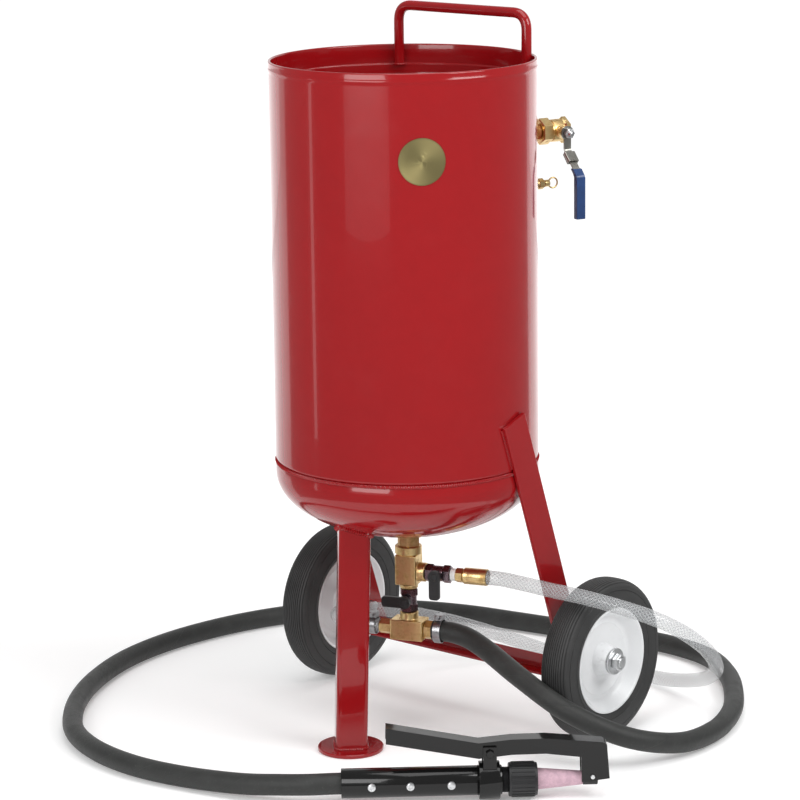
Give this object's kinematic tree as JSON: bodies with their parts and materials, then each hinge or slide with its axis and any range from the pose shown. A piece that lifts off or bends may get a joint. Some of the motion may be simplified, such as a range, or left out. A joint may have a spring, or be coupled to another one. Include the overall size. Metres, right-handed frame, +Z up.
{
  "type": "abrasive blaster pot",
  "caption": "Portable pressure-pot abrasive blaster: red steel tank on wheels and a front leg, pop-up filler, ball valves, clear air line, blast hose and lever-operated nozzle handle.",
  "frame": {"origin": "on the floor, at the centre of the front foot plate's underside", "axes": "+Z up; +X to the right along the axle, seen from the front; +Y from the front leg back to the axle, so the front faces -Y; the tank's axis is vertical at y = +0.143 m"},
  "size_m": [1.0423, 1.0282, 1.123],
  "materials": {
    "red_paint": "gloss red enamel with light orange peel",
    "black_paint": "semi-gloss black enamel",
    "brass": "machined, lightly brushed",
    "zinc_steel": "bright zinc plate",
    "stainless": "brushed",
    "dark_chrome": "plated, reflects the red tank",
    "gold_foil": "brushed gold foil label",
    "tyre_rubber": "satin moulded rubber",
    "seal_rubber": "matt",
    "hose_rubber": "satin black blast hose",
    "clear_hose": "clear PVC with white braid",
    "white_paint": "powder-coated white wheel centre",
    "blue_vinyl": "dipped vinyl grip",
    "black_plastic": "moulded nylon",
    "ceramic": "unglazed fired ceramic, pinkish"
  },
  "bodies": {
    "tank": {"tank_shell": "red_paint", "bottom_head": "red_paint", "top_head": "red_paint", "push_handle": "red_paint", "front_leg": "red_paint", "foot_plate": "red_paint", "rear_leg_left": "red_paint", "rear_leg_right": "red_paint", "axle_crossbar": "red_paint", "filler_seal": "seal_rubber", "inlet_nipple": "brass", "inlet_valve_body": "brass", "relief_valve_body": "brass", "outlet_nipple": "brass", "air_tee": "brass", "air_hose_end": "brass", "mixing_tee": "brass", "air_return_barb": "brass", "blast_hose_barb": "brass", "inlet_standpipe": "stainless", "lever_spring": "stainless", "round_label": "gold_foil", "axle_stub_left": "zinc_steel", "axle_washer_left": "zinc_steel", "axle_nut_left": "zinc_steel", "axle_stub_right": "zinc_steel", "axle_washer_right": "zinc_steel", "axle_nut_right": "zinc_steel", "air_hose_clamp": "zinc_steel", "blast_hose_clamp": "zinc_steel", "choke_valve_body": "dark_chrome", "metering_valve_body": "dark_chrome", "nozzle_holder": "black_plastic", "nozzle_nut": "black_plastic", "air_line": "clear_hose", "blast_hose": "hose_rubber", "gun_tube": "black_paint", "gun_pivot_clamp": "black_paint", "gun_pivot_bolt": "black_paint", "ceramic_nozzle": "ceramic"},
    "wheel_left": {"tyre_left": "tyre_rubber", "hub_left": "white_paint", "hub_bush_left": "black_plastic"},
    "wheel_right": {"tyre_right": "tyre_rubber", "hub_right": "white_paint", "hub_bush_right": "black_plastic"},
    "plunger": {"filler_plunger": "brass"},
    "inlet_lever": {"inlet_valve_lever": "stainless", "inlet_valve_grip": "blue_vinyl", "inlet_valve_nut": "zinc_steel", "inlet_valve_ball": "zinc_steel"},
    "lever_lock": {"inlet_valve_lock": "stainless"},
    "choke_lever": {"choke_valve_lever": "black_plastic", "choke_valve_ball": "zinc_steel"},
    "metering_lever": {"metering_valve_lever": "black_plastic", "metering_valve_ball": "zinc_steel"},
    "relief_ring": {"relief_pull_ring": "brass"},
    "trigger_lever": {"gun_lever": "black_paint", "stopper_pad": "seal_rubber", "stopper_pin": "zinc_steel"}
  },
  "joints": [
    {"name": "wheel_left_spin", "type": "hinge", "parent": "tank", "child": "wheel_left", "pos_m": [-0.267, 0.285, 0.127], "axis": [1, 0, 0], "continuous": true},
    {"name": "wheel_right_spin", "type": "hinge", "parent": "tank", "child": "wheel_right", "pos_m": [0.267, 0.285, 0.127], "axis": [1, 0, 0], "continuous": true},
    {"name": "plunger_lift", "type": "slide", "parent": "tank", "child": "plunger", "axis": [0, 0, 1], "range_m": [0, 0.0205]},
    {"name": "inlet_valve_turn", "type": "hinge", "parent": "tank", "child": "inlet_lever", "pos_m": [0.09786, 0.39142, 0.9235], "axis": [0.9304, -0.3665, 0], "range_deg": [0, 90]},
    {"name": "lever_lock_slide", "type": "slide", "parent": "inlet_lever", "child": "lever_lock", "axis": [0.663, -0.2612, -0.7016], "range_m": [0, 0.006]},
    {"name": "choke_valve_turn", "type": "hinge", "parent": "tank", "child": "choke_lever", "pos_m": [0.04727, 0.1602, 0.253], "axis": [0.342, -0.9397, 0], "range_deg": [0, 90]},
    {"name": "metering_valve_turn", "type": "hinge", "parent": "tank", "child": "metering_lever", "pos_m": [0, 0.143, 0.207], "axis": [0.342, -0.9397, 0], "range_deg": [0, 90]},
    {"name": "relief_ring_pull", "type": "slide", "parent": "tank", "child": "relief_ring", "axis": [0.3665, 0.9304, 0], "range_m": [0, 0.004], "stiffness_N_per_m": 2000, "springref_m": -0.003},
    {"name": "trigger_lever_press", "type": "hinge", "parent": "tank", "child": "trigger_lever", "pos_m": [0.30821, -0.04176, 0.075], "axis": [0.6782, -0.7349, 0], "range_deg": [0, 13], "stiffness_Nm_per_rad": 3, "springref_deg": -28.65}
  ]
}
